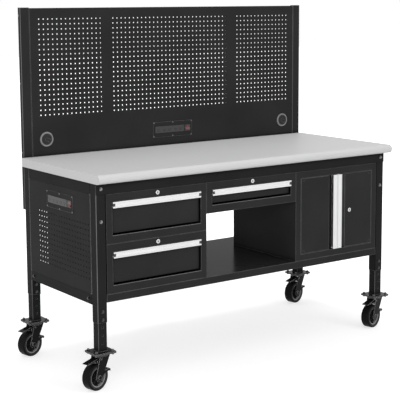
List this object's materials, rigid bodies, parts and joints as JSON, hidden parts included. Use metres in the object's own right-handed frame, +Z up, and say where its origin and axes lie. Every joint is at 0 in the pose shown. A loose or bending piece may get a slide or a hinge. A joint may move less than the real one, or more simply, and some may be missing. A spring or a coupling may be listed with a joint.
{
  "type": "workbench",
  "caption": "Mobile steel workbench with a round-nosed laminate top, lockable drawers, a two-door cupboard and a perforated back panel with power outlets, on braked swivel casters.",
  "frame": {"origin": "on the floor, under the middle of the worktop's length and depth", "axes": "+X along the bench to the right seen from the front, +Y to the back panel, +Z up"},
  "size_m": [1.916, 0.8019, 1.762],
  "materials": {
    "black_plastic": "moulded black plastic",
    "board": "particle board",
    "caster_coat": "gloss black coated steel",
    "caster_tyre": "hard black rubber tyre on a moulded core",
    "edge_band": "light grey banded end",
    "fastener": "bright zinc-plated fasteners",
    "laminate": "light grey laminate, low sheen",
    "lock_chrome": "polished chrome",
    "outlet_plastic": "moulded grey plastic",
    "panel_coat": "near-black satin powder coat on perforated sheet steel",
    "powder_coat": "near-black satin powder coat on sheet and tube steel",
    "pull_aluminium": "bright anodised extrusion",
    "slide_steel": "bright zinc-plated rails",
    "switch_red": "gloss red plastic"
  },
  "bodies": {
    "bench": {"worktop_core": "board", "worktop_laminate": "laminate", "worktop_edge_bands": "edge_band", "leg_posts": "powder_coat", "leg_extensions": "powder_coat", "worktop_aprons": "powder_coat", "side_rails": "powder_coat", "side_panel_left": "panel_coat", "side_panel_right": "panel_coat", "base_shelf": "powder_coat", "back_uprights": "powder_coat", "pegboard_panel": "panel_coat", "panel_stiffeners": "powder_coat", "cable_grommets": "black_plastic", "power_boxes": "powder_coat", "power_faceplates": "powder_coat", "outlet_strips": "outlet_plastic", "drawer_case_upper": "powder_coat", "drawer_case_lower": "powder_coat", "drawer_case_centre": "powder_coat", "case_slide_rails": "slide_steel", "door_cabinet": "powder_coat", "cabinet_shelf": "powder_coat", "cabinet_hinge_pins": "fastener", "lock_cylinders": "lock_chrome", "frame_bolts": "fastener", "caster_plates": "caster_coat"},
    "drawer_upper": {"drawer_upper": "powder_coat", "drawer_upper_pull": "pull_aluminium"},
    "drawer_upper_slide": {"drawer_upper_slide": "slide_steel"},
    "drawer_upper_lock": {"drawer_upper_lock": "lock_chrome"},
    "drawer_lower": {"drawer_lower": "powder_coat", "drawer_lower_pull": "pull_aluminium"},
    "drawer_lower_slide": {"drawer_lower_slide": "slide_steel"},
    "drawer_lower_lock": {"drawer_lower_lock": "lock_chrome"},
    "drawer_centre": {"drawer_centre": "powder_coat", "drawer_centre_pull": "pull_aluminium"},
    "drawer_centre_slide": {"drawer_centre_slide": "slide_steel"},
    "drawer_centre_lock": {"drawer_centre_lock": "lock_chrome"},
    "door_left": {"door_left": "powder_coat", "door_left_pull": "pull_aluminium"},
    "door_right": {"door_right": "powder_coat", "door_right_pull": "pull_aluminium", "door_lock_cylinder": "lock_chrome"},
    "door_lock": {"door_lock_plug": "lock_chrome"},
    "switch_back": {"switch_back": "switch_red"},
    "switch_side": {"switch_side": "switch_red"},
    "caster_front_left_fork": {"caster_front_left_fork": "caster_coat"},
    "caster_front_left_wheel": {"caster_front_left_wheel": "caster_tyre"},
    "caster_front_left_pedal": {"caster_front_left_pedal": "caster_coat"},
    "caster_rear_left_fork": {"caster_rear_left_fork": "caster_coat"},
    "caster_rear_left_wheel": {"caster_rear_left_wheel": "caster_tyre"},
    "caster_rear_left_pedal": {"caster_rear_left_pedal": "caster_coat"},
    "caster_front_right_fork": {"caster_front_right_fork": "caster_coat"},
    "caster_front_right_wheel": {"caster_front_right_wheel": "caster_tyre"},
    "caster_front_right_pedal": {"caster_front_right_pedal": "caster_coat"},
    "caster_rear_right_fork": {"caster_rear_right_fork": "caster_coat"},
    "caster_rear_right_wheel": {"caster_rear_right_wheel": "caster_tyre"},
    "caster_rear_right_pedal": {"caster_rear_right_pedal": "caster_coat"}
  },
  "joints": [
    {"name": "drawer_upper_travel", "type": "slide", "parent": "bench", "child": "drawer_upper", "axis": [0, -1, 0], "range_m": [0, 0.43]},
    {"name": "drawer_upper_slide_travel", "type": "slide", "parent": "bench", "child": "drawer_upper_slide", "axis": [0, -1, 0], "range_m": [0, 0.215]},
    {"name": "drawer_upper_lock_turn", "type": "hinge", "parent": "bench", "child": "drawer_upper_lock", "pos_m": [-0.56753, -0.327, 0.8975], "axis": [0, 1, 0], "range_deg": [0, 90]},
    {"name": "drawer_lower_travel", "type": "slide", "parent": "bench", "child": "drawer_lower", "axis": [0, -1, 0], "range_m": [0, 0.43]},
    {"name": "drawer_lower_slide_travel", "type": "slide", "parent": "bench", "child": "drawer_lower_slide", "axis": [0, -1, 0], "range_m": [0, 0.215]},
    {"name": "drawer_lower_lock_turn", "type": "hinge", "parent": "bench", "child": "drawer_lower_lock", "pos_m": [-0.56753, -0.327, 0.6625], "axis": [0, 1, 0], "range_deg": [0, 90]},
    {"name": "drawer_centre_travel", "type": "slide", "parent": "bench", "child": "drawer_centre", "axis": [0, -1, 0], "range_m": [0, 0.43]},
    {"name": "drawer_centre_slide_travel", "type": "slide", "parent": "bench", "child": "drawer_centre_slide", "axis": [0, -1, 0], "range_m": [0, 0.215]},
    {"name": "drawer_centre_lock_turn", "type": "hinge", "parent": "bench", "child": "drawer_centre_lock", "pos_m": [0, -0.327, 0.8975], "axis": [0, 1, 0], "range_deg": [0, 90]},
    {"name": "door_left_hinge", "type": "hinge", "parent": "bench", "child": "door_left", "pos_m": [0.33177, -0.318, 0.679], "axis": [0, 0, -1], "range_deg": [0, 105]},
    {"name": "door_right_hinge", "type": "hinge", "parent": "bench", "child": "door_right", "pos_m": [0.8033, -0.318, 0.679], "axis": [0, 0, 1], "range_deg": [0, 105]},
    {"name": "door_lock_turn", "type": "hinge", "parent": "door_right", "child": "door_lock", "pos_m": [0.65553, -0.327, 0.67925], "axis": [0, -1, 0], "range_deg": [0, 90]},
    {"name": "switch_back_rock", "type": "hinge", "parent": "bench", "child": "switch_back", "pos_m": [0.097, 0.38, 1.099], "axis": [1, 0, 0], "range_deg": [0, 16]},
    {"name": "switch_side_rock", "type": "hinge", "parent": "bench", "child": "switch_side", "pos_m": [-0.9045, -0.085, 0.843], "axis": [0, -1, 0], "range_deg": [0, 16]},
    {"name": "caster_front_left_swivel", "type": "hinge", "parent": "bench", "child": "caster_front_left_fork", "pos_m": [-0.878, -0.3015, 0.16], "axis": [0, 0, 1], "continuous": true},
    {"name": "caster_front_left_roll", "type": "hinge", "parent": "caster_front_left_fork", "child": "caster_front_left_wheel", "pos_m": [-0.91487, -0.31069, 0.0635], "axis": [-0.2419, 0.9703, 0], "continuous": true},
    {"name": "caster_front_left_brake", "type": "hinge", "parent": "caster_front_left_fork", "child": "caster_front_left_pedal", "pos_m": [-0.89935, -0.30682, 0.148], "axis": [0.2419, -0.9703, 0], "range_deg": [0, 12]},
    {"name": "caster_rear_left_swivel", "type": "hinge", "parent": "bench", "child": "caster_rear_left_fork", "pos_m": [-0.878, 0.3555, 0.16], "axis": [0, 0, 1], "continuous": true},
    {"name": "caster_rear_left_roll", "type": "hinge", "parent": "caster_rear_left_fork", "child": "caster_rear_left_wheel", "pos_m": [-0.91487, 0.34631, 0.0635], "axis": [-0.2419, 0.9703, 0], "continuous": true},
    {"name": "caster_rear_left_brake", "type": "hinge", "parent": "caster_rear_left_fork", "child": "caster_rear_left_pedal", "pos_m": [-0.89935, 0.35018, 0.148], "axis": [0.2419, -0.9703, 0], "range_deg": [0, 12]},
    {"name": "caster_front_right_swivel", "type": "hinge", "parent": "bench", "child": "caster_front_right_fork", "pos_m": [0.878, -0.3015, 0.16], "axis": [0, 0, 1], "continuous": true},
    {"name": "caster_front_right_roll", "type": "hinge", "parent": "caster_front_right_fork", "child": "caster_front_right_wheel", "pos_m": [0.84113, -0.31069, 0.0635], "axis": [-0.2419, 0.9703, 0], "continuous": true},
    {"name": "caster_front_right_brake", "type": "hinge", "parent": "caster_front_right_fork", "child": "caster_front_right_pedal", "pos_m": [0.85665, -0.30682, 0.148], "axis": [0.2419, -0.9703, 0], "range_deg": [0, 12]},
    {"name": "caster_rear_right_swivel", "type": "hinge", "parent": "bench", "child": "caster_rear_right_fork", "pos_m": [0.878, 0.3555, 0.16], "axis": [0, 0, 1], "continuous": true},
    {"name": "caster_rear_right_roll", "type": "hinge", "parent": "caster_rear_right_fork", "child": "caster_rear_right_wheel", "pos_m": [0.84113, 0.34631, 0.0635], "axis": [-0.2419, 0.9703, 0], "continuous": true},
    {"name": "caster_rear_right_brake", "type": "hinge", "parent": "caster_rear_right_fork", "child": "caster_rear_right_pedal", "pos_m": [0.85665, 0.35018, 0.148], "axis": [0.2419, -0.9703, 0], "range_deg": [0, 12]}
  ],
  "couplings": [
    {"joint": "drawer_upper_slide_travel", "follows": "drawer_upper_travel", "ratio": 0.5},
    {"joint": "drawer_lower_slide_travel", "follows": "drawer_lower_travel", "ratio": 0.5},
    {"joint": "drawer_centre_slide_travel", "follows": "drawer_centre_travel", "ratio": 0.5}
  ]
}
